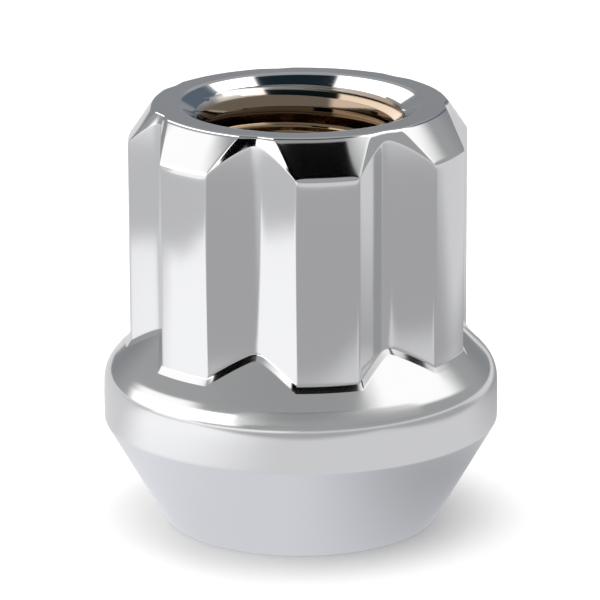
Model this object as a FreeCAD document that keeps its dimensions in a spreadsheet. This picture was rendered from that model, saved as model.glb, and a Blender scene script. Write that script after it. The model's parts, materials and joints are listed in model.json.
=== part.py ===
"""Open-ended spline-drive lug nut with a conical seat: one piece of steel, forged and turned."""
import FreeCAD, Part
import math
import os
import Sketcher
from FreeCAD import Placement, Rotation, Vector

NODE = "lug_nut"

# Driving dimensions: name, value in millimetres or degrees, what it measures
DIMENSIONS = [
    ("overall_height", 23.8, "foot to the flat top ring"),
    ("flange_diameter", 22.0, "the band, which is the widest part"),
    ("foot_diameter", 15.2, "small end of the seat, before its rounding"),
    ("seat_angle", 60.0, "full angle of the seat cone"),
    ("band_height", 2.9, "seat edge to shoulder, before their roundings"),
    ("shoulder_angle", 45.0, "slope of the shoulder"),
    ("shoulder_rounding", 1.75, "shoulder into the band"),
    ("seat_edge_rounding", 0.3, "band into the seat, and seat into the foot"),
    ("body_diameter", 19.0, "over the lobes"),
    ("root_diameter", 16.4, "between the groove floors"),
    ("spline_count", 7, "lobes, and grooves between them"),
    ("groove_angle", 134.0, "full angle between a groove's walls"),
    ("floor_rounding", 1.2, "one groove wall into the other"),
    ("lobe_edge_rounding", 0.25, "upright edges of the lobes"),
    ("root_rounding", 0.5, "lobes and grooves into the shoulder"),
    ("top_ring_diameter", 16.3, "outside of the flat ring round the mouth"),
    ("nose_angle", 34.0, "nose cone, measured from the axis"),
    ("nose_rounding", 0.5, "nose cone into the lobes"),
    ("lead_in_depth", 0.45, "how far the lead-in reaches down a groove floor, below the nose cone"),
    ("lead_in_tilt", 20.0, "lean of the lead-in towards the axis"),
    ("lead_in_share", 0.71, "share of the nose cone's width at which the lead-in meets it"),
    ("bore_diameter", 10.5, "tapping size of the M12 x 1.5 thread"),
    ("top_mouth_diameter", 13.4, "countersink in the top ring"),
    ("foot_mouth_diameter", 12.8, "countersink in the foot"),
    ("countersink_angle", 120.0, "full angle of both countersinks"),
]

# Lengths and angles worked out from the driving dimensions, each one from those above it
WORKED = [
    ("flange_radius", "Sizes.flange_diameter / 2"),
    ("foot_radius", "Sizes.foot_diameter / 2"),
    ("body_radius", "Sizes.body_diameter / 2"),
    ("root_radius", "Sizes.root_diameter / 2"),
    ("ring_radius", "Sizes.top_ring_diameter / 2"),
    ("bore_radius", "Sizes.bore_diameter / 2"),
    ("top_mouth_radius", "Sizes.top_mouth_diameter / 2"),
    ("foot_mouth_radius", "Sizes.foot_mouth_diameter / 2"),
    ("seat_height", "(Worked.flange_radius - Worked.foot_radius) / tan(Sizes.seat_angle * 0.5deg)"),
    ("band_top", "Worked.seat_height + Sizes.band_height"),
    ("core_radius", "(Worked.bore_radius + Worked.root_radius) / 2"),
    ("shoulder_slope", "tan(Sizes.shoulder_angle * 1deg)"),
    ("shoulder_top", "Worked.band_top + (Worked.flange_radius - Worked.core_radius) * Worked.shoulder_slope"),
    ("nose_slope", "1 / tan(Sizes.nose_angle * 1deg)"),
    ("nose_drop", "(Worked.body_radius - Worked.ring_radius) * Worked.nose_slope"),
    ("nose_base", "Sizes.overall_height - Worked.nose_drop"),
    ("sink_slope", "tan(Sizes.countersink_angle * 0.5deg)"),
    ("top_sink", "(Worked.top_mouth_radius - Worked.bore_radius) / Worked.sink_slope"),
    ("foot_sink", "(Worked.foot_mouth_radius - Worked.bore_radius) / Worked.sink_slope"),
    ("groove_reach", "Worked.body_radius + Sizes.floor_rounding"),
    ("groove_turn", "(180 - Sizes.groove_angle) / 2"),
    ("wall_slope", "tan(Worked.groove_turn * 1deg)"),
    ("wall_start", "Worked.root_radius + Sizes.floor_rounding * (1 - 1 / cos(Worked.groove_turn * 1deg))"),
    ("wall_foot", "Worked.wall_start * cos(Worked.groove_turn * 1deg)"),
    ("meet_radius", "Worked.ring_radius + Sizes.lead_in_share * (Worked.body_radius - Worked.ring_radius)"),
    ("meet_along", "sqrt(Worked.meet_radius^2 - Worked.wall_foot^2)"),
    ("meet_x", "Worked.meet_along * cos(Worked.groove_turn * 1deg)"
               " - Worked.wall_foot * sin(Worked.groove_turn * 1deg)"),
    ("meet_y", "Worked.wall_start + Worked.meet_x * Worked.wall_slope"),
    ("meet_drop", "(Worked.meet_radius - Worked.ring_radius) * Worked.nose_slope"),
    ("floor_drop", "max(0; Worked.root_radius - Worked.ring_radius) * Worked.nose_slope"),
    ("lead_in_drop", "Worked.floor_drop + Sizes.lead_in_depth"),
    ("lead_in_out", "(Worked.meet_y - Worked.root_radius) * cos(Sizes.lead_in_tilt * 1deg)"),
    ("lead_in_down", "(Worked.meet_drop - Worked.lead_in_drop) * sin(Sizes.lead_in_tilt * 1deg)"),
    ("lead_in_side", "Worked.lead_in_out - Worked.lead_in_down"),
    ("lead_in_limit", "0.8 * (Worked.meet_x^2 + Worked.lead_in_side^2) / (2 * Worked.lead_in_side)"),
    ("lead_in_rounding", "min(Sizes.floor_rounding; Worked.lead_in_limit)"),
    ("lead_in_rise", "Worked.lead_in_side - Worked.lead_in_rounding"),
    ("lead_in_span", "sqrt(Worked.meet_x^2 + Worked.lead_in_rise^2)"),
    ("lead_in_turn", "(asin(Worked.lead_in_rounding / Worked.lead_in_span)"
                     " + atan(Worked.lead_in_rise / Worked.meet_x)) / 1deg"),
    ("lead_in_floor", "Worked.root_radius * cos(Sizes.lead_in_tilt * 1deg)"),
    ("lead_in_base", "Sizes.overall_height - Worked.lead_in_drop"),
]

TOLERANCE = 1e-3


def make_sheet(doc):
    """The spreadsheet that holds the driving dimensions, one to a row."""
    sheet = doc.addObject("Spreadsheet::Sheet", "Sizes")
    for row, (name, value, meaning) in enumerate(DIMENSIONS, start=1):
        sheet.set(f"A{row}", meaning)
        sheet.set(f"B{row}", str(value))
        sheet.setAlias(f"B{row}", name)
    doc.recompute()


def make_worked(doc):
    """The variables that follow the spreadsheet, each bound to its expression."""
    worked = doc.addObject("App::VarSet", "Worked")
    for name, expression in WORKED:
        worked.addProperty("App::PropertyFloat", name)
        worked.setExpression(name, expression)
    doc.recompute()


def value_of(doc, expression):
    """What an expression comes to now, as a plain number."""
    return float(doc.getObject("Worked").evalExpression(expression))


def new_sketch(body, name, plane):
    """A sketch on one of the body's origin planes."""
    sketch = body.newObject("Sketcher::SketchObject", name)
    origin_plane = next(item for item in body.Origin.OriginFeatures if item.Role == plane)
    sketch.AttachmentSupport = [(origin_plane, "")]
    sketch.MapMode = "FlatFace"
    return sketch


def bind(sketch, kind, references, expression, scale=1.0):
    """Add one dimension to a sketch and tie it to an expression."""
    value = value_of(sketch.Document, expression) * scale
    index = sketch.addConstraint(Sketcher.Constraint(kind, *references, value))
    name = f"size_{index}"
    sketch.renameConstraint(index, name)
    sketch.setExpression(f"Constraints.{name}", expression)


def draw_outline(sketch, corners):
    """A closed outline whose corners are (radius, height) or (radius, height, rounding)."""
    places = [[value_of(sketch.Document, text) for text in corner[:2]] for corner in corners]
    for start, end in zip(places, places[1:] + places[:1]):
        sketch.addGeometry(Part.LineSegment(Vector(*start, 0), Vector(*end, 0)), False)
    for line, (radius, height, *_) in enumerate(corners):
        previous = (line - 1) % len(corners)
        sketch.addConstraint(Sketcher.Constraint("Coincident", previous, 2, line, 1))
        if radius == "0":
            sketch.addConstraint(Sketcher.Constraint("PointOnObject", line, 1, -2))
        else:
            bind(sketch, "DistanceX", (-1, 1, line, 1), radius)
        if height == "0":
            sketch.addConstraint(Sketcher.Constraint("PointOnObject", line, 1, -1))
        else:
            bind(sketch, "DistanceY", (-1, 1, line, 1), height)
    for line, (_, _, *rounding) in enumerate(corners):
        if rounding:
            sketch.fillet(line, 1, value_of(sketch.Document, rounding[0]), True, True)
            arc = sketch.GeometryCount - 2
            bind(sketch, "Radius", (arc,), rounding[0])


def draw_groove(sketch, floor, turn, rounding):
    """A groove's section: two walls and the arc that joins them, open towards +Y."""
    texts = (rounding, floor, "Worked.groove_reach", turn)
    radius, bottom, top, degrees = (value_of(sketch.Document, text) for text in texts)
    angle = math.radians(degrees)
    centre = Vector(0, bottom + radius, 0)
    touch = Vector(radius * math.sin(angle), centre.y - radius * math.cos(angle), 0)
    outer = Vector(touch.x + (top - touch.y) / math.tan(angle), top, 0)
    mirrored_touch, mirrored_outer = (Vector(-point.x, point.y, 0) for point in (touch, outer))
    circle = Part.Circle(centre, Vector(0, 0, 1), radius)
    left, floor_arc, right, lid = (
        sketch.addGeometry(item, False)
        for item in (
            Part.LineSegment(mirrored_outer, mirrored_touch),
            Part.ArcOfCircle(circle, -math.pi / 2 - angle, -math.pi / 2 + angle),
            Part.LineSegment(touch, outer),
            Part.LineSegment(outer, mirrored_outer),
        )
    )
    sketch.addConstraint(Sketcher.Constraint("Tangent", left, 2, floor_arc, 1))
    sketch.addConstraint(Sketcher.Constraint("Tangent", floor_arc, 2, right, 1))
    sketch.addConstraint(Sketcher.Constraint("Coincident", right, 2, lid, 1))
    sketch.addConstraint(Sketcher.Constraint("Coincident", lid, 2, left, 1))
    sketch.addConstraint(Sketcher.Constraint("Symmetric", right, 2, left, 1, -2))
    sketch.addConstraint(Sketcher.Constraint("PointOnObject", floor_arc, 3, -2))
    bind(sketch, "Radius", (floor_arc,), rounding)
    bind(sketch, "DistanceY", (-1, 1, floor_arc, 3), f"{floor} + {rounding}")
    bind(sketch, "Angle", (right,), f"{turn} * 1deg", math.radians(1))
    bind(sketch, "DistanceY", (-1, 1, right, 2), "Worked.groove_reach")


def revolve(body, name, corners, kind="PartDesign::Revolution"):
    """A full turn of an outline about the nut's axis, added to the body or cut from it."""
    sketch = new_sketch(body, f"{name}_section", "XZ_Plane")
    draw_outline(sketch, corners)
    feature = body.newObject(kind, name)
    feature.Profile = sketch
    feature.ReferenceAxis = (sketch, ["V_Axis"])
    feature.Angle = 360
    body.Document.recompute()


def round_edges(body, name, radius, belongs):
    """Round each edge of the body so far for which belongs(edge, distance, height) holds at its middle."""
    base = body.Tip
    names = []
    for number, edge in enumerate(base.Shape.Edges, start=1):
        middle = edge.valueAt((edge.FirstParameter + edge.LastParameter) / 2)
        if belongs(edge, math.hypot(middle.x, middle.y), middle.z):
            names.append(f"Edge{number}")
    feature = body.newObject("PartDesign::Fillet", name)
    feature.Base = (base, names)
    feature.setExpression("Radius", radius)
    body.Document.recompute()
    print(f"{name}: {len(names)} edges")


def is_upright(edge):
    """True for a straight edge that runs parallel to the nut's axis."""
    start, end = (vertex.Point for vertex in (edge.Vertexes[0], edge.Vertexes[-1]))
    return math.hypot(start.x - end.x, start.y - end.y) < TOLERANCE < abs(start.z - end.z)


def cut_groove(body, name, section, height, tilt, length):
    """Cut one groove of a given section downwards from a height, straight or leaning to the axis."""
    sketch = new_sketch(body, f"{name}_section", "XY_Plane")
    sketch.AttachmentOffset = Placement(Vector(), Rotation(Vector(1, 0, 0), 1))
    sketch.setExpression("AttachmentOffset.Rotation.Angle", tilt)
    sketch.setExpression("AttachmentOffset.Base.z", height)
    body.Document.recompute()
    draw_groove(sketch, *section)
    before = body.Tip.Shape.Volume
    pocket = body.newObject("PartDesign::Pocket", name)
    pocket.Profile = sketch
    pocket.Type = "Length"
    pocket.setExpression("Length", length)
    body.Document.recompute()
    print(f"{name}: cut {before - pocket.Shape.Volume:.3f} mm3")
    return pocket


def make_barrel(body):
    """The upper body: a plain barrel, before its grooves and its nose."""
    revolve(body, "Barrel", [
        ("0", "Worked.seat_height"),
        ("Worked.body_radius", "Worked.seat_height"),
        ("Worked.body_radius", "Sizes.overall_height"),
        ("0", "Sizes.overall_height"),
    ])


def repeat(body, name, feature):
    """Repeat a cut round the axis, once for each groove."""
    pattern = body.newObject("PartDesign::PolarPattern", name)
    pattern.Originals = [feature]
    pattern.Axis = (next(item for item in body.Origin.OriginFeatures if item.Role == "Z_Axis"), [""])
    pattern.Angle = 360
    pattern.setExpression("Occurrences", "Sizes.spline_count")
    body.Tip = pattern
    body.Document.recompute()


def make_splines(body):
    """The grooves round the barrel, and the upright edges of the lobes between them broken."""
    groove = cut_groove(
        body, "Groove", ("Worked.root_radius", "Worked.groove_turn", "Sizes.floor_rounding"),
        "Sizes.overall_height", "0deg", "Sizes.overall_height - Worked.seat_height",
    )
    repeat(body, "Splines", groove)
    radius = value_of(body.Document, "Worked.body_radius")
    round_edges(
        body, "Lobe_edges", "Sizes.lobe_edge_rounding",
        lambda edge, distance, height: is_upright(edge) and abs(distance - radius) < TOLERANCE,
    )


def make_nose(body):
    """The cone on the lobes' upper ends, rounded into them, and the lead-in over each groove."""
    revolve(body, "Nose", [
        ("Worked.ring_radius", "Sizes.overall_height"),
        ("Worked.body_radius", "Worked.nose_base", "Sizes.nose_rounding"),
        ("Worked.body_radius", "Worked.seat_height"),
        ("Worked.groove_reach", "Worked.seat_height"),
        ("Worked.groove_reach", "Sizes.overall_height"),
    ], "PartDesign::Groove")
    lead_in = cut_groove(
        body, "Lead_in", ("Worked.lead_in_floor", "Worked.lead_in_turn", "Worked.lead_in_rounding"),
        "Worked.lead_in_base", "Sizes.lead_in_tilt * 1deg", "Worked.body_radius",
    )
    repeat(body, "Lead_ins", lead_in)


def make_collar(body):
    """The seat cone, the band and the shoulder, with the splines run out on the shoulder."""
    revolve(body, "Collar", [
        ("0", "0"),
        ("Worked.foot_radius", "0", "Sizes.seat_edge_rounding"),
        ("Worked.flange_radius", "Worked.seat_height", "Sizes.seat_edge_rounding"),
        ("Worked.flange_radius", "Worked.band_top", "Sizes.shoulder_rounding"),
        ("Worked.core_radius", "Worked.shoulder_top"),
        ("0", "Worked.shoulder_top"),
    ])
    names = ("band_top", "flange_radius", "body_radius", "shoulder_slope")
    band_top, flange, barrel, slope = (value_of(body.Document, f"Worked.{name}") for name in names)

    def on_root(edge, distance, height):
        on_cone = abs(height - band_top - (flange - distance) * slope) < TOLERANCE
        return on_cone and distance < barrel + TOLERANCE and not isinstance(edge.Curve, Part.Line)

    round_edges(body, "Root_rounding", "Sizes.root_rounding", on_root)


def make_bore(body):
    """The through bore at its tapping size, countersunk at both ends."""
    revolve(body, "Bore", [
        ("0", "0"),
        ("Worked.foot_mouth_radius", "0"),
        ("Worked.bore_radius", "Worked.foot_sink"),
        ("Worked.bore_radius", "Sizes.overall_height - Worked.top_sink"),
        ("Worked.top_mouth_radius", "Sizes.overall_height"),
        ("0", "Sizes.overall_height"),
    ], "PartDesign::Groove")


def check(doc, body):
    """Stop if a feature failed, or if the result isn't one valid closed solid."""
    for item in doc.Objects:
        if {"Invalid", "Error"} & set(item.State):
            raise RuntimeError(f"{item.Name} failed: {item.State}")
    shape = body.Shape
    if shape.isNull() or not shape.isValid() or len(shape.Solids) != 1:
        raise RuntimeError(f"{body.Label} isn't one valid solid")


def main():
    doc = FreeCAD.newDocument("LugNut")
    make_sheet(doc)
    make_worked(doc)
    body = doc.addObject("PartDesign::Body", "Nut")
    body.Label = NODE
    make_barrel(body)
    make_splines(body)
    make_nose(body)
    make_collar(body)
    make_bore(body)
    check(doc, body)
    os.makedirs("parts", exist_ok=True)
    body.Shape.exportStep(os.path.join("parts", f"{body.Label}.step"))
    box = body.Shape.optimalBoundingBox()
    volume = body.Shape.Volume
    print(f"{body.Label}: {volume:.1f} mm3, {box.XLength:.2f} mm across, {box.ZLength:.2f} mm high")


main()
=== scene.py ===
# %% [markdown]
# A chromed wheel nut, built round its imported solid.
#
# Everything below is placed from it, so the finished nut stands where the solid stands.

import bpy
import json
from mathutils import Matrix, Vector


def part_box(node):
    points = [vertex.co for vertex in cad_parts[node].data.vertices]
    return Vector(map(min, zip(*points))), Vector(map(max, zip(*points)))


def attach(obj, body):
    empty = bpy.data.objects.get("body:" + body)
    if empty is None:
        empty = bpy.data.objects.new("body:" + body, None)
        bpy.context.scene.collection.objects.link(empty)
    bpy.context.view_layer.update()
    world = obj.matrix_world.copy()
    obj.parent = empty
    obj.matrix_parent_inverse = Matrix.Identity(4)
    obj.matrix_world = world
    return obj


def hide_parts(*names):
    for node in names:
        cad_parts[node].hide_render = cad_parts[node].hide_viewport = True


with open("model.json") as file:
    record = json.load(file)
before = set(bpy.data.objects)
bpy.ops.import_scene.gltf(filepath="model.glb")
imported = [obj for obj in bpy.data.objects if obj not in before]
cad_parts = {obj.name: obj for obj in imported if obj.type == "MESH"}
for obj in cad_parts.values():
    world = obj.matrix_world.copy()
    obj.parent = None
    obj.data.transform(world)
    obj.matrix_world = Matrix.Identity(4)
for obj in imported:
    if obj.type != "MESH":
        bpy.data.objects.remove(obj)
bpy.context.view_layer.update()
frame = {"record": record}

# %% Other modules
import json
from collections import namedtuple
from math import acos, asin, atan2, ceil, cos, degrees, hypot, pi, radians, sin, tan

import bmesh
import bpy
from mathutils import Matrix, Vector

# %% [markdown]
# The driving sizes are in millimetres, because that is how a nut is drawn. The height, the band
# and the thread come from the frame. The rest are the nut's own: a conical seat, a band, a sloping
# shoulder, seven lobes with seven grooves between them, and a cone on the nose. The angles of the
# seat, the nose and the countersinks are measured from the axis. The shoulder's lean is how far
# back its face leans from upright.

# %% Driving sizes
MM = 0.001
mounts = {mount["name"]: mount for mount in frame["record"]["mounts"]}
nut_low, nut_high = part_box("lug_nut")
HEIGHT = nut_high[2] / MM
BAND_RADIUS = (nut_high[0] - nut_low[0]) / 2 / MM
BORE_RADIUS = mounts["thread"]["dims"]["r_mm"]
FOOT_RADIUS = 7.6
SEAT_ANGLE = radians(30)
BAND_WIDTH = 2.9
SHOULDER_LEAN = radians(45)
SHOULDER_ROUNDING = 1.75
LOBE_RADIUS = 9.5
FLOOR_RADIUS = 8.2
FLOOR_ROUNDING = 1.2
WALL_TURN = radians(23)
SPLINES = 7
RING_RADIUS = 8.15
NOSE_ANGLE = radians(34)
MOUTH_RADIUS = 6.7
FOOT_MOUTH_RADIUS = 6.4
PILOT_RADIUS = 5.0
SINK_ANGLE = radians(60)

SEAT_TOP = (BAND_RADIUS - FOOT_RADIUS) / tan(SEAT_ANGLE)
BAND_TOP = SEAT_TOP + BAND_WIDTH
print(f"height {HEIGHT:.2f}, band {BAND_RADIUS:.2f}, seat up to {SEAT_TOP:.2f}, bore {BORE_RADIUS:.2f} mm")

# %% [markdown]
# Seen from above, a groove is two flat walls joined by a rounded floor, and a lobe is a piece of
# the barrel. Both are simple functions of the angle from the middle of a groove, so the outline
# is worked out from the angle instead of from a list of points.

# %% The outline of the barrel, by angle
SECTOR = 2 * pi / SPLINES
WALL_START = FLOOR_RADIUS + FLOOR_ROUNDING * (1 - 1 / cos(WALL_TURN))
WALL_FOOT = WALL_START * cos(WALL_TURN)
FLOOR_CENTRE = FLOOR_RADIUS + FLOOR_ROUNDING
FLOOR_END = atan2(FLOOR_ROUNDING * sin(WALL_TURN), FLOOR_CENTRE - FLOOR_ROUNDING * cos(WALL_TURN))
LOBE_EDGE = acos(WALL_FOOT / LOBE_RADIUS) - WALL_TURN


def wall_radius(angle):
    """Distance from the axis to the barrel's surface, at an angle from a groove's middle."""
    side = abs(angle)
    if side >= LOBE_EDGE:
        return LOBE_RADIUS
    if side >= FLOOR_END:
        return WALL_FOOT / cos(side + WALL_TURN)
    return FLOOR_CENTRE * cos(side) - (FLOOR_ROUNDING**2 - (FLOOR_CENTRE * sin(side)) ** 2) ** 0.5


print(f"a lobe is {degrees(SECTOR - 2 * LOBE_EDGE):.1f} degrees wide")

# %% [markdown]
# At the top of a groove the edge is broken by a lead-in, which helps the key on: two facets that
# lean towards the axis. Each starts in the top ring and runs out at the corner of a lobe, so that
# corner settles its lean. The edge it leaves on the groove's walls is a pointed arch, whose sides
# bend a little. A Boolean could cut the facets, but a rule for their edges keeps the mesh even.

# %% The lead-in at the top of a groove
NOSE_SLOPE = 1 / tan(NOSE_ANGLE)
NOSE_DROP = (LOBE_RADIUS - RING_RADIUS) * NOSE_SLOPE
FACET_START = 8.0
FACET_SLOPE = 0.11
LOBE_EDGE_X, LOBE_EDGE_Y = LOBE_RADIUS * sin(LOBE_EDGE), LOBE_RADIUS * cos(LOBE_EDGE)
FACET_LEAN = (LOBE_EDGE_Y - FACET_START - FACET_SLOPE * LOBE_EDGE_X) / NOSE_DROP
FACET_TURN = atan2(FACET_SLOPE, 1)
RING_BITE_EDGE = acos(FACET_START * cos(FACET_TURN) / RING_RADIUS) - FACET_TURN
ARCH_TOP = (FLOOR_RADIUS - FACET_START) / FACET_LEAN
ARCH_BEND = 1.5


def mix(start, end, share):
    """A value part of the way from one to another."""
    return start + (end - start) * share


def ring_radius(angle):
    """Distance from the axis to the edge of the flat top ring."""
    side = abs(angle)
    if side >= RING_BITE_EDGE:
        return RING_RADIUS
    return FACET_START / (cos(side) - FACET_SLOPE * sin(side))


def edge_drop(angle):
    """How far the top edge of a lobe or a groove's wall lies below the top ring."""
    side = abs(angle)
    if side >= LOBE_EDGE:
        return NOSE_DROP
    return mix(ARCH_TOP, NOSE_DROP, (wall_radius(side) * sin(side) / LOBE_EDGE_X) ** ARCH_BEND)


print(f"arch {edge_drop(0):.2f} mm down at the floor, {edge_drop(LOBE_EDGE):.2f} mm at a lobe")

# %% [markdown]
# The surface is a grid that is finished by a Subdivision Surface. Its upright lines have to run
# along the lobes' edges, so they aren't evenly spaced there, while a round band wants them even.
# Each line therefore has three angles: on the walls, on the top ring and on the round parts.

# %% The upright lines of one sector
Line = namedtuple("Line", "wall ring even")
EDGE_HOLD = 0.13
RING_HOLD = radians(0.9)


def spread(start, end, count):
    """Evenly spaced values between two ends, both left out."""
    return [start + (end - start) * (index + 1) / (count + 1) for index in range(count)]


def half_sector():
    """The lines from a groove's middle to a lobe's middle."""
    hold = EDGE_HOLD / LOBE_RADIUS
    wall = [0, *spread(0, FLOOR_END, 1), FLOOR_END, *spread(FLOOR_END, LOBE_EDGE - hold, 2)]
    wall += [LOBE_EDGE - hold, LOBE_EDGE, LOBE_EDGE + hold]
    wall += [*spread(LOBE_EDGE + hold, SECTOR / 2, 1), SECTOR / 2]
    ring = [0, *spread(0, RING_BITE_EDGE - RING_HOLD, 4)]
    ring += [RING_BITE_EDGE - RING_HOLD, RING_BITE_EDGE, RING_BITE_EDGE + RING_HOLD]
    ring += [*spread(RING_BITE_EDGE + RING_HOLD, SECTOR / 2, 1), SECTOR / 2]
    even = [0, *spread(0, SECTOR / 2, len(wall) - 2), SECTOR / 2]
    return [Line(*angles) for angles in zip(wall, ring, even)]


half = half_sector()
other_half = [Line(*(SECTOR - angle for angle in line)) for line in reversed(half[1:-1])]
SECTOR_LINES = half + other_half
LINES = len(SECTOR_LINES) * SPLINES
print(f"{LINES} upright lines, {len(SECTOR_LINES)} to a sector")

# %% [markdown]
# Each level line of the grid is a rule that gives a radius, an angle and a height for an upright
# line. On the band, the seat and the foot the rule is one radius and one height. The top ring is
# round inside and follows the lead-ins outside, so its lines go from one to the other.

# %% Level lines on the round parts and the top ring


def middle_angle(angle):
    """The angle from the nearest groove's middle."""
    return angle if angle <= SECTOR / 2 else SECTOR - angle


def turned(radius, height):
    """A level line on a part that is round."""
    return lambda line: (radius, line.even, height)


def on_ring(share):
    """A level line on the flat top, part of the way from the mouth to the ring's edge."""
    def rule(line):
        outer = ring_radius(middle_angle(line.ring))
        return mix(MOUTH_RADIUS, outer, share), mix(line.even, line.ring, share), HEIGHT
    return rule


print(f"ring {RING_RADIUS - MOUTH_RADIUS:.2f} mm wide, {ring_radius(0) - MOUTH_RADIUS:.2f} mm at a groove")

# %% [markdown]
# The nose and the lead-ins lie between the ring's edge and the barrel's top edge. Straight lines
# from one to the other make the cone on a lobe and the flat facets over a groove. On their way
# down the lines swing to their places on the barrel a little early, as the facets' corners do.

# %% Level lines on the nose
NOSE_FAN = 0.8


def on_nose(share, hold=0):
    """A level line on the nose cone and lead-ins, at a share of the way down or a distance from an end."""
    def rule(line):
        side = middle_angle(line.wall)
        upper, lower, drop = ring_radius(middle_angle(line.ring)), wall_radius(side), edge_drop(side)
        step = share + hold / hypot(lower - upper, drop)
        return mix(upper, lower, step), mix(line.ring, line.wall, step**NOSE_FAN), HEIGHT - drop * step
    return rule


print(f"nose cone {hypot(LOBE_RADIUS - RING_RADIUS, NOSE_DROP):.2f} mm long")

# %% [markdown]
# Where the barrel meets the shoulder, a narrow cone joins them and leans as the nose does. It
# keeps one width all along the winding foot of the barrel, so its lower end is the barrel's
# outline moved outwards: along a wall it shifts square to the wall, and at a lobe's edge the two
# shifts meet in a mitred corner.

# %% Level lines on the narrow cone at the barrel's foot
ROOT_WIDTH = 0.25
SAME_ANGLE = 1e-6


def root_height(radius):
    """Height of the shoulder cone at a distance from the axis."""
    return BAND_TOP + (BAND_RADIUS - radius) / tan(SHOULDER_LEAN)


def face_direction(side):
    """Which way the barrel's surface faces in plan, and how far its offset corner lies, at an angle."""
    wall, lobe = -WALL_TURN, side
    if abs(side - LOBE_EDGE) < SAME_ANGLE:
        return (wall + lobe) / 2, 1 / cos((lobe - wall) / 2)
    if side > LOBE_EDGE:
        return lobe, 1
    return -min(asin(min(1, wall_radius(side) * sin(side) / FLOOR_ROUNDING)), WALL_TURN), 1


def root_cone(line):
    """Both ends of the narrow cone that joins the barrel to the shoulder, as (radius, angle, height)."""
    side = middle_angle(line.wall)
    radius = wall_radius(side)
    facing, reach = face_direction(side)
    across = radius * sin(side) + ROOT_WIDTH * reach * sin(facing)
    out = radius * cos(side) + ROOT_WIDTH * reach * cos(facing)
    lower_radius, shift = hypot(across, out), atan2(across, out) - side
    lower_angle = line.wall + (shift if line.wall <= SECTOR / 2 else -shift)
    lower = root_height(lower_radius)
    return (radius, line.wall, lower + ROOT_WIDTH * NOSE_SLOPE), (lower_radius, lower_angle, lower)


def on_root(share):
    """A level line on the narrow cone."""
    return lambda line: tuple(mix(upper, lower, share) for upper, lower in zip(*root_cone(line)))


barrel_foot = [root_cone(line)[0][2] for line in (half[-1], half[0])]
print("the barrel ends {:.2f} mm up at a lobe, {:.2f} mm up in a groove".format(*barrel_foot))

# %% [markdown]
# The barrel's lines run between the nose and the narrow cone. The shoulder's lines start from that
# cone's winding foot and are round and evenly spaced before they reach the rounding over the band.

# %% Level lines on the barrel and the shoulder
ROUNDING_START = BAND_RADIUS - SHOULDER_ROUNDING * (1 - cos(SHOULDER_LEAN))
EVEN_SPEED = 1.25


def on_wall(share, hold=0):
    """A level line on the barrel, between the nose and the narrow cone at its foot."""
    def rule(line):
        side = middle_angle(line.wall)
        top, foot_shade = HEIGHT - edge_drop(side), root_cone(line)[0][2]
        return wall_radius(side), line.wall, mix(top, foot_shade, share) - hold
    return rule


def on_shoulder(share, hold=0):
    """A level line on the shoulder cone, from the barrel's foot to the rounding over the band."""
    def rule(line):
        start, angle, _ = root_cone(line)[1]
        step = share + hold * sin(SHOULDER_LEAN) / (ROUNDING_START - start)
        radius = mix(start, ROUNDING_START, step)
        return radius, mix(angle, line.even, min(1, step * EVEN_SPEED)), root_height(radius)
    return rule


def shoulder_arc(count):
    """Level lines round the rounding between the shoulder and the band."""
    centre_radius = BAND_RADIUS - SHOULDER_ROUNDING
    centre_height = root_height(ROUNDING_START) - SHOULDER_ROUNDING * sin(SHOULDER_LEAN)
    for index in range(count):
        lean = SHOULDER_LEAN * (1 - index / (count - 1))
        out, up = SHOULDER_ROUNDING * cos(lean), SHOULDER_ROUNDING * sin(lean)
        yield turned(centre_radius + out, centre_height + up)


print(f"the shoulder turns over into the band from {ROUNDING_START:.2f} mm out")

# %% [markdown]
# A line close to an edge holds the surface to it: the closer the line, the sharper the edge. The
# distance for a wanted rounding follows from how a subdivided surface bends at a corner. The nose
# has two roundings: soft where it turns into a lobe, and crisp along a groove's arch.

# %% Holding distances
FINE_ROUNDING = 0.09
NOSE_ROUNDING = 0.42
ARCH_ROUNDING = 0.07
SEAT_ROUNDING = 0.3
FOOT_ROUNDING = 0.25
ROOT_EDGE_HOLD = 0.05


def hold_for(rounding, turn):
    """How far from a corner its holding line lies, for a rounding radius and a turn."""
    return rounding * 2 * tan(turn / 2) / cos(turn / 2)


def nose_hold(line):
    """The holding distance at the nose's lower edge, for an upright line."""
    on_lobe = middle_angle(line.wall) > LOBE_EDGE
    return hold_for(NOSE_ROUNDING if on_lobe else ARCH_ROUNDING, NOSE_ANGLE)


def held(rule_maker, share, sign):
    """A level line at the nose's lower edge, held above it or below it."""
    return lambda line: rule_maker(share, sign * nose_hold(line))(line)


fine_hold = hold_for(FINE_ROUNDING, pi / 2)
seat_hold = hold_for(SEAT_ROUNDING, SEAT_ANGLE)
foot_hold = hold_for(FOOT_ROUNDING, pi / 2 - SEAT_ANGLE)
lobe_hold, arch_hold = nose_hold(half[-1]), nose_hold(half[0])
print(f"the nose's lower edge is held {lobe_hold:.2f} mm away on a lobe, {arch_hold:.2f} mm on an arch")

# %% [markdown]
# The level lines are listed in the order in which a lathe tool would travel: out of the pilot
# hole, up the countersink, over the top ring, down the nose, the barrel, the shoulder, the band
# and the seat, and back in through the foot. The shares place the lines between two edges.

# %% All level lines
SINK_MIDDLE = 0.7
RING_SHARE = 0.5
NOSE_SHARES = (0.33, 0.62)
WALL_SHARES = (0.2, 0.5, 0.8)
SHOULDER_SHARES = (0.5, 0.8)
ARC_LINES = 4
BAND_SHARE = 0.6
SEAT_SHARES = (0.35, 0.65)


def sink(mouth, height, away, up):
    """A level line on a countersink, at a distance in from its mouth."""
    return turned(mouth - away, height + up * away / tan(SINK_ANGLE))


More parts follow.
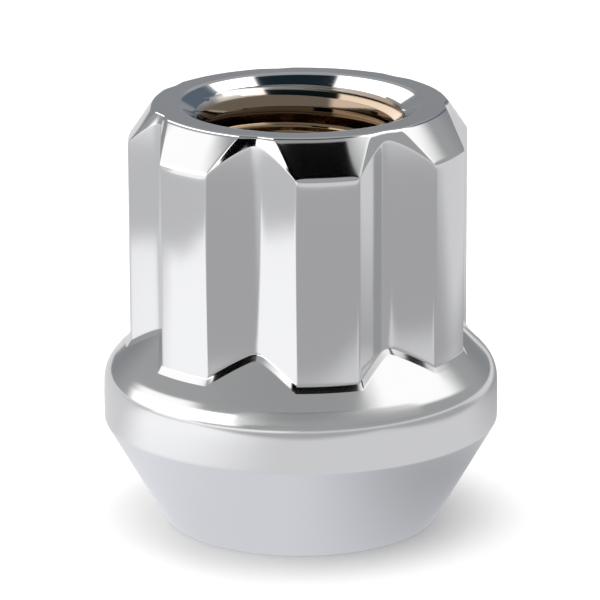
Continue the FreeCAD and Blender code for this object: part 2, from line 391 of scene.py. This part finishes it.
def seat_point(along):
    """A level line on the seat cone, at a distance down from the band."""
    return turned(BAND_RADIUS - along * sin(SEAT_ANGLE), SEAT_TOP - along * cos(SEAT_ANGLE))


root_share = ROOT_EDGE_HOLD / hypot(ROOT_WIDTH, ROOT_WIDTH * NOSE_SLOPE)
seat_length = SEAT_TOP / cos(SEAT_ANGLE)
LEVELS = [
    sink(MOUTH_RADIUS, HEIGHT, MOUTH_RADIUS - PILOT_RADIUS, -1),
    sink(MOUTH_RADIUS, HEIGHT, SINK_MIDDLE, -1),
    sink(MOUTH_RADIUS, HEIGHT, fine_hold, -1),
    turned(MOUTH_RADIUS, HEIGHT),
    turned(MOUTH_RADIUS + fine_hold, HEIGHT),
    on_ring(RING_SHARE),
    on_ring(1 - fine_hold / (RING_RADIUS - MOUTH_RADIUS)),
    on_nose(0),
    on_nose(0, fine_hold),
    *(on_nose(share) for share in NOSE_SHARES),
    held(on_nose, 1, -1),
    on_nose(1),
    held(on_wall, 0, 1),
    *(on_wall(share) for share in WALL_SHARES),
    on_wall(1, -ROOT_EDGE_HOLD),
    *(on_root(share) for share in (0, root_share, 1 - root_share, 1)),
    on_shoulder(0, ROOT_EDGE_HOLD),
    *(on_shoulder(share) for share in SHOULDER_SHARES),
    *shoulder_arc(ARC_LINES),
    turned(BAND_RADIUS, mix(BAND_TOP, SEAT_TOP, BAND_SHARE)),
    turned(BAND_RADIUS, SEAT_TOP + seat_hold),
    turned(BAND_RADIUS, SEAT_TOP),
    seat_point(seat_hold),
    *(seat_point(seat_length * share) for share in SEAT_SHARES),
    seat_point(seat_length - foot_hold),
    turned(FOOT_RADIUS, 0),
    turned(FOOT_RADIUS - foot_hold, 0),
    turned(FOOT_MOUTH_RADIUS + fine_hold, 0),
    turned(FOOT_MOUTH_RADIUS, 0),
    sink(FOOT_MOUTH_RADIUS, 0, fine_hold, 1),
    sink(FOOT_MOUTH_RADIUS, 0, SINK_MIDDLE, 1),
    sink(FOOT_MOUTH_RADIUS, 0, FOOT_MOUTH_RADIUS - PILOT_RADIUS, 1),
    turned(PILOT_RADIUS, HEIGHT / 2),
]
print(f"{len(LEVELS)} level lines")

# %% [markdown]
# The blank is turned first, as the real one is: the outline through a lobe is spun round the axis.
# Then the grooves are pressed in by sending each point of the spun surface to the place that its
# two lines give. A number stored on each point says which level line it belongs to.

# %% Turn the blank


def turn_blank():
    """A bmesh of the round blank, with each point's level line in the layer 'level'."""
    blank = bmesh.new()
    level_layer = blank.verts.layers.int.new("level")
    lobe_line = half[-1]
    points = []
    for level, rule in enumerate(LEVELS):
        radius, _, height = rule(lobe_line)
        point = blank.verts.new((radius, 0, height))
        point[level_layer] = level
        points.append(point)
    outline = [blank.edges.new(pair) for pair in zip(points, points[1:] + points[:1])]
    bmesh.ops.spin(
        blank, geom=points + outline, cent=(0, 0, 0), axis=(0, 0, 1), dvec=(0, 0, 0),
        angle=2 * pi, steps=LINES, use_merge=True, use_duplicate=False,
    )
    return blank


blank = turn_blank()
print(f"blank: {len(blank.verts)} points, {len(blank.faces)} faces")

# %% Press the grooves


def press_grooves(blank):
    """Move each point of the blank to where its upright and level lines cross."""
    level_layer = blank.verts.layers.int["level"]
    for point in blank.verts:
        turn = atan2(point.co.y, point.co.x) % (2 * pi)
        number = round(turn / (2 * pi) * LINES) % LINES
        sector, position = divmod(number, len(SECTOR_LINES))
        radius, angle, height = LEVELS[point[level_layer]](SECTOR_LINES[position])
        angle += sector * SECTOR + pi / 2
        point.co = Vector((radius * cos(angle), radius * sin(angle), height)) * MM
    bmesh.ops.recalc_face_normals(blank, faces=blank.faces)


press_grooves(blank)
print(f"pressed: {blank.calc_volume() / MM**3:.0f} mm3 before it is tapped")

# %% [markdown]
# The thread is cut as a tap cuts it. The tap starts as one turn of a thread outline, which has two
# short sides at each edge so that the cut thread's edges aren't knife-sharp. The outline is spun
# up the axis with a rise at each step. It is nowhere thinner than the bore, and the pilot hole is
# narrower, so the tap cuts all round. A Screw modifier could do the same, but the spin leaves a
# plain mesh that the next cuts can trim.

# %% Spin the tap
PITCH = 1.5
MAJOR_RADIUS = 6.0
CREST_WIDTH = 0.446
THREAD_ROOT = 0.19
THREAD_STEPS = 72
THREAD_ROUNDING = 0.12
TAP_OVERRUN = 0.4
MERGE_DISTANCE = 0.002


def thread_outline():
    """Radius and height of one turn's outline, from the middle of a crest to the next."""
    flank = (PITCH - CREST_WIDTH - THREAD_ROOT) / 2
    slope = (MAJOR_RADIUS - BORE_RADIUS) / flank
    crest, ease = CREST_WIDTH / 2, THREAD_ROUNDING
    lower = [
        (BORE_RADIUS, 0),
        (BORE_RADIUS, crest - ease),
        (BORE_RADIUS + ease * slope / 3, crest),
        (BORE_RADIUS + ease * slope, crest + ease),
        (MAJOR_RADIUS - 2 * ease * slope, crest + flank - 2 * ease),
        (MAJOR_RADIUS - ease, crest + flank - ease / 3),
        (MAJOR_RADIUS, PITCH / 2),
    ]
    upper = [(radius, PITCH - height) for radius, height in reversed(lower[:-1])]
    return lower + upper


def spin_tap():
    """An open bmesh of the tap, longer than the nut at both ends."""
    tap = bmesh.new()
    start = -PITCH - TAP_OVERRUN
    points = [tap.verts.new((radius * MM, 0, (height + start) * MM)) for radius, height in thread_outline()]
    edges = [tap.edges.new(pair) for pair in zip(points, points[1:])]
    turns = ceil((HEIGHT + 2 * TAP_OVERRUN) / PITCH) + 1
    bmesh.ops.spin(
        tap, geom=points + edges, cent=(0, 0, 0), axis=(0, 0, 1), dvec=(0, 0, PITCH * MM / THREAD_STEPS),
        angle=2 * pi * turns, steps=THREAD_STEPS * turns, use_merge=False, use_duplicate=False,
    )
    bmesh.ops.remove_doubles(tap, verts=tap.verts, dist=MERGE_DISTANCE * MM)
    return tap


tap_shape = spin_tap()
print(f"tap: {len(tap_shape.faces)} faces before it is trimmed")

# %% [markdown]
# The spun outline is an open skin with ragged ends. A flat cut trims each end, and the hole that
# it leaves is filled, because only a closed tap can be subtracted. Every mesh that follows becomes
# an object in the same two moves, so they are helpers.

# %% Trim the tap and make it an object
CUT_DISTANCE = 1e-9


def trim_tap(tap):
    """Cut both ends of the tap flat and close them."""
    for height, side in ((-TAP_OVERRUN, -1), (HEIGHT + TAP_OVERRUN, 1)):
        cut = bmesh.ops.bisect_plane(
            tap, geom=tap.verts[:] + tap.edges[:] + tap.faces[:], dist=CUT_DISTANCE,
            plane_co=(0, 0, height * MM), plane_no=(0, 0, side), clear_outer=True,
        )
        rim = [item for item in cut["geom_cut"] if isinstance(item, bmesh.types.BMEdge)]
        bmesh.ops.contextual_create(tap, geom=rim)
    bmesh.ops.recalc_face_normals(tap, faces=tap.faces)


def mesh_from(shape, name):
    """A named mesh with the shape of a bmesh, which is freed."""
    mesh = bpy.data.meshes.new(name)
    shape.to_mesh(mesh)
    shape.free()
    return mesh


def add_object(data, name):
    """A named object in the scene, for a mesh or a camera."""
    item = bpy.data.objects.new(name, data)
    bpy.context.scene.collection.objects.link(item)
    return item


trim_tap(tap_shape)
open_edges = sum(not edge.is_manifold for edge in tap_shape.edges)
print(f"tap: {len(tap_shape.faces)} faces, {open_edges} open edges")
tap = add_object(mesh_from(tap_shape, "tap"), "tap")

# %% [markdown]
# The blank becomes an object, is subdivided and is then tapped by a Boolean. Both steps are
# applied at once, so that the finished nut is plain mesh and the tap can be thrown away. Edges
# that turn by more than the limit stay sharp, and everything else is shaded smooth.

# %% Tap the blank
SMOOTH_LEVELS = 2
SMOOTH_LIMIT = radians(32)


def finish_nut(blank, tap):
    """The nut as one mesh object: subdivided, tapped and shaded smooth up to its sharp edges."""
    cage = mesh_from(blank, "nut_cage")
    nut = add_object(cage, "chromed_nut")
    smooth = nut.modifiers.new("smooth", "SUBSURF")
    smooth.levels = smooth.render_levels = SMOOTH_LEVELS
    cut = nut.modifiers.new("tap", "BOOLEAN")
    cut.operation = "DIFFERENCE"
    cut.solver = "EXACT"
    cut.object = tap
    bpy.context.view_layer.update()
    finished = bpy.data.meshes.new_from_object(nut.evaluated_get(bpy.context.evaluated_depsgraph_get()))
    nut.modifiers.clear()
    nut.data = finished
    finished.name = "chromed_nut"
    bpy.data.meshes.remove(cage)
    bpy.data.objects.remove(tap)
    finished.polygons.foreach_set("use_smooth", [True] * len(finished.polygons))
    finished.set_sharp_from_angle(angle=SMOOTH_LIMIT)
    return nut


nut = finish_nut(blank, tap)
nut.data.calc_loop_triangles()
print(f"nut: {len(nut.data.vertices)} points, {len(nut.data.loop_triangles)} triangles")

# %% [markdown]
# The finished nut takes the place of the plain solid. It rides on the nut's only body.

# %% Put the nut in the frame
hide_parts("lug_nut")
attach(nut, "root")
print(f"{nut.name} stands in for the solid, {nut.dimensions.z / MM:.2f} mm high")

# %% [markdown]
# The camera stands where the photograph was taken: a long lens, a little above the nut, with one
# lobe a little right of the middle. Its distance and its aim are in pixels of the picture, each
# as wide as PIXEL at the nut. The aim point is above the seat's upper edge, half a pixel from the
# nut's axis.

# %% The camera
PICTURE = 600
SENSOR = 36
PIXEL = 0.05606
DISTANCE_PIXELS = 4590
LOOK_DOWN = radians(16.55)
LOOK_FROM = radians(-9.04)
ROLL = radians(-0.2)
AIM_UP, AIM_ACROSS = 112, -0.5
NEAREST = 0.01


def place_camera():
    """A camera at the photograph's viewing angle."""
    right = Vector((cos(LOOK_FROM), sin(LOOK_FROM), 0))
    front = Vector((-sin(LOOK_FROM), cos(LOOK_FROM), 0))
    back = Vector((0, 0, sin(LOOK_DOWN))) - front * cos(LOOK_DOWN)
    up = back.cross(right)
    aim = Vector((0, 0, SEAT_TOP)) + (up * AIM_UP + right * AIM_ACROSS) * PIXEL
    lens = bpy.data.cameras.new("camera")
    lens.sensor_width = SENSOR
    lens.lens = SENSOR * DISTANCE_PIXELS / PICTURE
    lens.clip_start = NEAREST
    camera = add_object(lens, "camera")
    axes = Matrix((right, up, back)).transposed().to_4x4()
    place = Matrix.Translation((aim + back * DISTANCE_PIXELS * PIXEL) * MM)
    camera.matrix_world = place @ axes @ Matrix.Rotation(ROLL, 4, "Z")
    bpy.context.scene.camera = camera
    return camera


camera = place_camera()
print("camera at", [round(value, 4) for value in camera.matrix_world.translation])

# %% [markdown]
# Everything that follows is shading, so shader nodes are written as Python arithmetic. A small
# class wraps a socket: an operator adds a Math node, and one method adds any other node. Nodes
# could be added and linked one by one, but then the formula would be lost among the links. The Mix
# node has sockets for several kinds of value, so its colour sockets are named by their numbers.

# %% Shader arithmetic
MIX_FACTOR, MIX_START, MIX_END = 0, 6, 7
MIX_RESULT = 2


class Wire:
    """A shader socket that can be used in Python expressions."""

    def __init__(self, tree, socket=None):
        self.tree = tree
        self.socket = socket

    def node(self, kind, settings=None, inputs=None, output=0):
        """Add a node, with its settings first and then the values or links of its inputs."""
        item = self.tree.nodes.new(kind)
        for name, value in (settings or {}).items():
            setattr(item, name, value)
        for name, value in (inputs or {}).items():
            if isinstance(value, Wire):
                self.tree.links.new(value.socket, item.inputs[name])
            else:
                item.inputs[name].default_value = value
        return Wire(self.tree, item.outputs[output] if item.outputs else None)

    def math(self, operation, *values):
        """Add a Math node."""
        return self.node("ShaderNodeMath", {"operation": operation}, dict(enumerate(values)))

    def parts(self):
        """The three parts of a vector."""
        split = self.node("ShaderNodeSeparateXYZ", inputs={0: self})
        return [Wire(self.tree, socket) for socket in split.socket.node.outputs]

    def rise(self, low, high):
        """A smooth rise from 0 to 1 between two values of this wire."""
        limits = {"From Min": low, "From Max": high, "Value": self}
        return self.node("ShaderNodeMapRange", {"interpolation_type": "SMOOTHSTEP"}, limits)

    def within(self, low, high, soft):
        """1 between two values and 0 outside, with soft ends."""
        return self.rise(low - soft, low + soft) * (1 - self.rise(high - soft, high + soft))

    def blend(self, start, end):
        """A colour that goes from one to another as this wire goes from 0 to 1."""
        settings = {"data_type": "RGBA", "clamp_factor": True}
        inputs = {MIX_FACTOR: self, MIX_START: start, MIX_END: end}
        return self.node("ShaderNodeMix", settings, inputs, MIX_RESULT)

    def __add__(self, other):
        return self.math("ADD", self, other)

    def __sub__(self, other):
        return self.math("SUBTRACT", self, other)

    def __rsub__(self, other):
        return self.math("SUBTRACT", other, self)

    def __mul__(self, other):
        return self.math("MULTIPLY", self, other)

    def __truediv__(self, other):
        return self.math("DIVIDE", self, other)

    def __pow__(self, other):
        return self.math("POWER", self, other)

    __radd__ = __add__
    __rmul__ = __mul__


def fresh_tree(owner):
    """A wire without a socket, in the emptied node tree of a world or a material."""
    owner.use_nodes = True
    owner.node_tree.nodes.clear()
    return Wire(owner.node_tree)


def grey(value, tint=(1, 1, 1)):
    """An opaque colour of a brightness, with an optional tint."""
    return (*(value * part for part in tint), 1)


print("a middle grey:", grey(0.5))

# %% [markdown]
# Chrome shows its surroundings and little else, so the studio is the larger part of its look. It
# is built as a photographer builds it: a large soft box on the left, a smaller and higher one on
# the right, grey walls, and a black card over the camera that draws the dark faces. A card is given
# by the faces that mirror it to the camera: how far they turn to the right, how far they lean back
# and how soft its edges are each way, in degrees. That is how a photographer places one, by looking
# at the metal.

# %% The soft boxes and cards of the studio
COOL = (0.95, 0.98, 1.03)
WARM = (1, 0.985, 0.975)
SOFT_BOX = grey(1.32, WARM)
BRIGHT_BOX = grey(1.9, WARM)
MOUTH_BOX = grey(2.8, WARM)
BLACK = grey(0)
NAVY = (0.010, 0.019, 0.028, 1)
SLATE = (0.12, 0.15, 0.19, 1)

Patch = namedtuple("Patch", "turn lean soft colour")
LEFT_BOX = [
    Patch((-59, -33), (10, 32), (4, 2), BRIGHT_BOX),
    Patch((-40, -19), (12, 30), (3, 2), BRIGHT_BOX),
    Patch((-59, -33), (30, 40), (4, 1.5), SOFT_BOX),
    Patch((-34, -16.8), (18, 32), (0.5, 0.5), BRIGHT_BOX),
    Patch((-74, -19), (53, 68), (2, 2), MOUTH_BOX),
]
RIGHT_BOX = [
    Patch((22, 55), (32, 50), (6, 2.5), SOFT_BOX),
    Patch((23, 49), (48, 68), (2, 2), MOUTH_BOX),
]
BLACK_CARD = [
    Patch((-9, 18), (32, 36.8), (0.4, 0.4), BLACK),
    Patch((-16.8, -6), (20.5, 33.6), (0.4, 0.4), BLACK),
    Patch((30.5, 33.7), (31, 33.4), (0.3, 0.3), BLACK),
]
DARK_CEILING = [
    Patch((-19, 23), (51, 65), (1.5, 1), NAVY),
    Patch((52, 86), (51, 69), (3, 2), SLATE),
]
CARDS = (*LEFT_BOX, *RIGHT_BOX, *DARK_CEILING, *BLACK_CARD)
print(f"{len(CARDS)} patches of light and dark")

# %% [markdown]
# The studio is the world's colour, by direction. Half-way between a direction and the lens lies
# the way that a face has to look to mirror it, which is where a card's two angles come from. Matt
# surfaces see a plain light overhead in place of the cards, which draws the nut's soft shadow on
# the floor, and the camera sees white. The ceiling and the overhead light come in as the upward
# part of a direction grows from one value to the other, and the side walls as the face's turn
# does, in degrees. Lamps could light a nut too, but chrome would show them as hard spots.

# %% The studio round the nut
WALL_GREY, CEILING_GREY, SIDE_GREY = 0.42, 0.378, 0.3024
CEILING = (0.75, 1)
SIDE_WALLS = (62, 80)
OVERHEAD = (0.6, 0.85)
OVERHEAD_DIM, OVERHEAD_BRIGHT = 0.5, 2.1
TO_LENS = Vector((0, cos(LOOK_DOWN), sin(LOOK_DOWN)))


def from_camera(x, y):
    """Plan directions as the camera sees them: to the right, and towards the camera."""
    return x * cos(LOOK_FROM) + y * sin(LOOK_FROM), x * sin(LOOK_FROM) - y * cos(LOOK_FROM)


def mirroring_face(side, forward, up):
    """Turn and lean, in degrees, of the face that mirrors a direction to the camera."""
    forward, up = forward + TO_LENS.y, up + TO_LENS.z
    turn = side.math("ARCTAN2", side, forward) * (180 / pi)
    lean = side.math("ARCTAN2", up, (side * side + forward * forward) ** 0.5) * (180 / pi)
    return turn, lean


def build_studio():
    """The world: soft boxes and cards for reflections, and plain white for the camera."""
    world = bpy.data.worlds.new("studio")
    start = fresh_tree(world)
    x, y, z = start.node("ShaderNodeTexCoord", output="Generated").parts()
    turn, lean = mirroring_face(*from_camera(x, y), z)
    colour = z.rise(*CEILING).blend(grey(WALL_GREY), grey(CEILING_GREY))
    colour = turn.math("ABSOLUTE", turn).rise(*SIDE_WALLS).blend(colour, grey(SIDE_GREY, COOL))
    for card in CARDS:
        mask = turn.within(*card.turn, card.soft[0]) * lean.within(*card.lean, card.soft[1])
        colour = mask.blend(colour, card.colour)
    overhead = z.rise(*OVERHEAD).blend(grey(OVERHEAD_DIM), grey(OVERHEAD_BRIGHT))
    colour = start.node("ShaderNodeLightPath", output="Is Diffuse Ray").blend(colour, overhead)
    is_camera = start.node("ShaderNodeLightPath", output="Is Camera Ray")
    background = start.node("ShaderNodeBackground", inputs={"Color": is_camera.blend(colour, grey(1))})
    start.node("ShaderNodeOutputWorld", inputs={"Surface": background})
    return world


studio = build_studio()
bpy.context.scene.world = studio
print(f"studio: {len(studio.node_tree.nodes)} nodes")

# %% [markdown]
# The floor and the world behind it look like one white sweep of paper. The camera sees the floor
# white, with the nut's soft shadow on it, because its material is a diffuse white with a faint glow
# for every ray that isn't a reflection. A curved sheet would do as well, but a flat one is enough
# where nothing shows of its far end.

# %% The floor
FLOOR_SIZE = 4.0


def build_floor():
    """A wide floor under the nut."""
    shape = bmesh.new()
    bmesh.ops.create_grid(shape, x_segments=1, y_segments=1, size=FLOOR_SIZE / 2)
    floor = add_object(mesh_from(shape, "floor"), "floor")
    return floor


floor = build_floor()
print(f"floor: {floor.dimensions.x:.1f} m wide")

# %% [markdown]
# The nut's upright faces mirror the floor in front of it, so for reflections the floor glows with a
# look of its own: a sheet of paper round the nut, with a painted pool of light at its front left,
# painted shade close to the foot that is darkest on the right, and painted shade behind the nut on
# the right, on a dimmer grey bench, with white again far out. Places are in metres, to the right of
# the nut's axis, towards the camera or away from the axis, and a pair of them is where a change
# starts and ends.

# %% The glowing paper and bench that the nut mirrors, with painted light and shade
PAPER_FRONT = 0.042
PAPER_LEFT = -0.067
PAPER_RIGHT = 0.038
PAPER_EDGE = 0.004
PAPER_BACK = (-0.028, -0.006)
WHITE_AGAIN = (0.088, 0.105)
LIT_SIDE, LIT_FRONT = (-0.034, -0.004), (-0.012, 0.004)
FOOT_REACH, FOOT_SIDE = (0.011, 0.019), (-0.002, 0.012)
DIM_BACK, DIM_SIDE, DIM_SOFT = (-0.03, 0), (0, 0.038), 0.01
BENCH_SIDE = (-0.06, -0.02)
PAPER_TONE, PAPER_GAIN = 0.78, 0.43
FOOT_GAIN_LEFT, FOOT_GAIN_RIGHT = 1.04, 0.6
BACK_SHADE = 0.5
BENCH_TONE, BENCH_GAIN = 0.47, 0.17


def paper_mask(side, forward, distance):
    """1 where the nut mirrors paper, and 0 where it mirrors the bench."""
    front = 1 - forward.rise(PAPER_FRONT - PAPER_EDGE, PAPER_FRONT + PAPER_EDGE)
    front = front * (1 - side.rise(PAPER_RIGHT - PAPER_EDGE, PAPER_RIGHT + PAPER_EDGE))
    behind = 1 - forward.rise(*PAPER_BACK)
    left = side.rise(PAPER_LEFT - PAPER_EDGE, PAPER_LEFT + PAPER_EDGE)
    sheet = left * front.math("MAXIMUM", front, behind)
    return sheet.math("MAXIMUM", sheet, distance.rise(*WHITE_AGAIN))


def reflected_glow_tone(side, forward, distance):
    """How bright the floor's glow is in reflections, with painted light and painted shade."""
    # Painted light: the glowing paper is brighter in a pool at its front left.
    lit = (1 - side.rise(*LIT_SIDE)) * forward.rise(*LIT_FRONT)
    # Painted shadow of the foot: the paper close to the foot is darker, most on the right.
    foot_shade = FOOT_GAIN_LEFT - (FOOT_GAIN_LEFT - FOOT_GAIN_RIGHT) * side.rise(*FOOT_SIDE)
    near = 1 - distance.rise(*FOOT_REACH)
    # Painted shade: the paper behind the nut on its right is dimmer.
    back = 1 - BACK_SHADE * (1 - forward.rise(*DIM_BACK)) * side.within(*DIM_SIDE, DIM_SOFT)
    paper = (PAPER_TONE + PAPER_GAIN * lit) * (1 - near * (1 - foot_shade)) * back
    bench = BENCH_TONE + BENCH_GAIN * (1 - side.rise(*BENCH_SIDE))
    return bench + paper_mask(side, forward, distance) * (paper - bench)


print(f"paper {PAPER_RIGHT - PAPER_LEFT:.3f} m wide in reflections")

# %% The floor's material
SHADE_REACH = (0.009, 0.028)
PAPER_TINT, SHADE_TINT = (1, 0.99, 1, 1), (0.985, 0.995, 1.045, 1)
CAMERA_GLOW, CAMERA_DIFFUSE = 0.05, 0.92


def floor_material():
    """White paper for the camera, and for reflections a glow of paper on a grey bench, with painted light
    and shade.
    """
    material = bpy.data.materials.new("floor_paper")
    start = fresh_tree(material)
    x, y, _ = start.node("ShaderNodeTexCoord", output="Object").parts()
    side, forward = from_camera(x, y)
    distance = (side * side + forward * forward) ** 0.5
    tone = reflected_glow_tone(side, forward, distance)
    # The painted shade close to the foot is tinted blue.
    tint = distance.rise(*SHADE_REACH).blend(SHADE_TINT, PAPER_TINT)
    reflected_glow = start.node("ShaderNodeEmission", inputs={"Color": tint, "Strength": tone})
    white = start.node("ShaderNodeBsdfDiffuse", inputs={"Color": grey(CAMERA_DIFFUSE)})
    light = start.node("ShaderNodeEmission", inputs={"Color": grey(1), "Strength": CAMERA_GLOW})
    seen = start.node("ShaderNodeAddShader", inputs={0: white, 1: light})
    is_glossy = start.node("ShaderNodeLightPath", output="Is Glossy Ray")
    both = start.node("ShaderNodeMixShader", inputs={0: is_glossy, 1: seen, 2: reflected_glow})
    start.node("ShaderNodeOutputMaterial", inputs={"Surface": both})
    return material


floor.data.materials.append(floor_material())
print(f"floor material: {len(floor.data.materials[0].node_tree.nodes)} nodes")

# %% [markdown]
# The plate is bright on the turned and coined faces and a little duller on the forged shoulder.
# The shoulder's front edge is duller still: at full gloss it would mirror the black card as a
# line, and the photograph shows none. Little chrome reaches down the bore, so the thread shows
# warm steel, browner in the middle of the bore. Sizes are in millimetres, from the foot or the axis
# unless a name says more.

# %% The chrome plate's colours and roughness
CHROME = (0.74, 0.75, 0.76, 1)
THREAD_GOLD = (0.3, 0.235, 0.175, 1)
THREAD_BROWN = (0.32, 0.22, 0.13, 1)
PLATED_DEPTH, PLATED_SOFT = 0.7, 0.3
BORE_EDGE = 0.2
BROWN_FROM_FOOT, BROWN_FROM_TOP, BROWN_SOFT = 4, 2.5, 0.9
PLATE_ROUGHNESS, SHOULDER_DULLER, MATT_DULLER = 0.075, 0.05, 0.3
SHOULDER_EDGE, SHOULDER_SOFT = 0.4, 0.15
SHOULDER_BELOW, SHOULDER_ABOVE = 0.9, 2.0
MATT_FRONT = (9.2, 9.8)
MATT_BELOW, MATT_ABOVE, MATT_SOFT = 0.2, 0.44, 0.1


def plate_colour(radius, z):
    """Chrome outside, and warm thinly plated steel in the thread."""
    in_bore = 1 - radius.rise(MAJOR_RADIUS, MAJOR_RADIUS + BORE_EDGE)
    brown = z.within(BROWN_FROM_FOOT, HEIGHT - BROWN_FROM_TOP, BROWN_SOFT)
    unplated = in_bore * z.within(PLATED_DEPTH, HEIGHT - PLATED_DEPTH, PLATED_SOFT)
    return unplated.blend(CHROME, brown.blend(THREAD_GOLD, THREAD_BROWN))


def plate_roughness(radius, y, z):
    """How dull the plate is: a little more on the shoulder, and most on its front edge."""
    shoulder = radius.rise(LOBE_RADIUS, LOBE_RADIUS + SHOULDER_EDGE)
    shoulder = shoulder * z.within(BAND_TOP - SHOULDER_BELOW, BAND_TOP + SHOULDER_ABOVE, SHOULDER_SOFT)
    matt = (0 - y).rise(*MATT_FRONT)
    matt = matt * z.within(BAND_TOP - MATT_BELOW, BAND_TOP + MATT_ABOVE, MATT_SOFT)
    return PLATE_ROUGHNESS + shoulder * SHOULDER_DULLER + matt * MATT_DULLER


print(f"the matt edge is {MATT_BELOW + MATT_ABOVE:.2f} mm high")

# %% [markdown]
# Plate is never quite flat, so a faint wave runs through what it mirrors. It is far too low to be
# modelled, and a bump from a soft noise does it.

# %% The chrome plate
WAVE_SCALE, WAVE_DETAIL = 320, 1.0
WAVE_HEIGHT = 0.006 * MM


def chrome_material():
    """Bright chrome plate on steel, with faint waves."""
    material = bpy.data.materials.new("chrome_plate")
    start = fresh_tree(material)
    place = start.node("ShaderNodeTexCoord", output="Object")
    x, y, z = (part / MM for part in place.parts())
    radius = (x * x + y * y) ** 0.5
    waves = {"Vector": place, "Scale": WAVE_SCALE, "Detail": WAVE_DETAIL}
    noise = start.node("ShaderNodeTexNoise", inputs=waves)
    bump = start.node("ShaderNodeBump", inputs={"Height": noise, "Distance": WAVE_HEIGHT})
    surface = start.node("ShaderNodeBsdfPrincipled", inputs={
        "Base Color": plate_colour(radius, z), "Metallic": 1.0,
        "Roughness": plate_roughness(radius, y, z), "Normal": bump,
    })
    start.node("ShaderNodeOutputMaterial", inputs={"Surface": surface})
    return material


nut.data.materials.append(chrome_material())
print(f"chrome: {len(nut.data.materials[0].node_tree.nodes)} nodes")

# %% [markdown]
# Blender's other view transforms bend bright tones. Standard shows each colour as it is written,
# so the greys of the studio come out as planned.

# %% The view that the colours are meant for
bpy.context.scene.view_settings.view_transform = "Standard"
print("view:", bpy.context.scene.view_settings.view_transform)
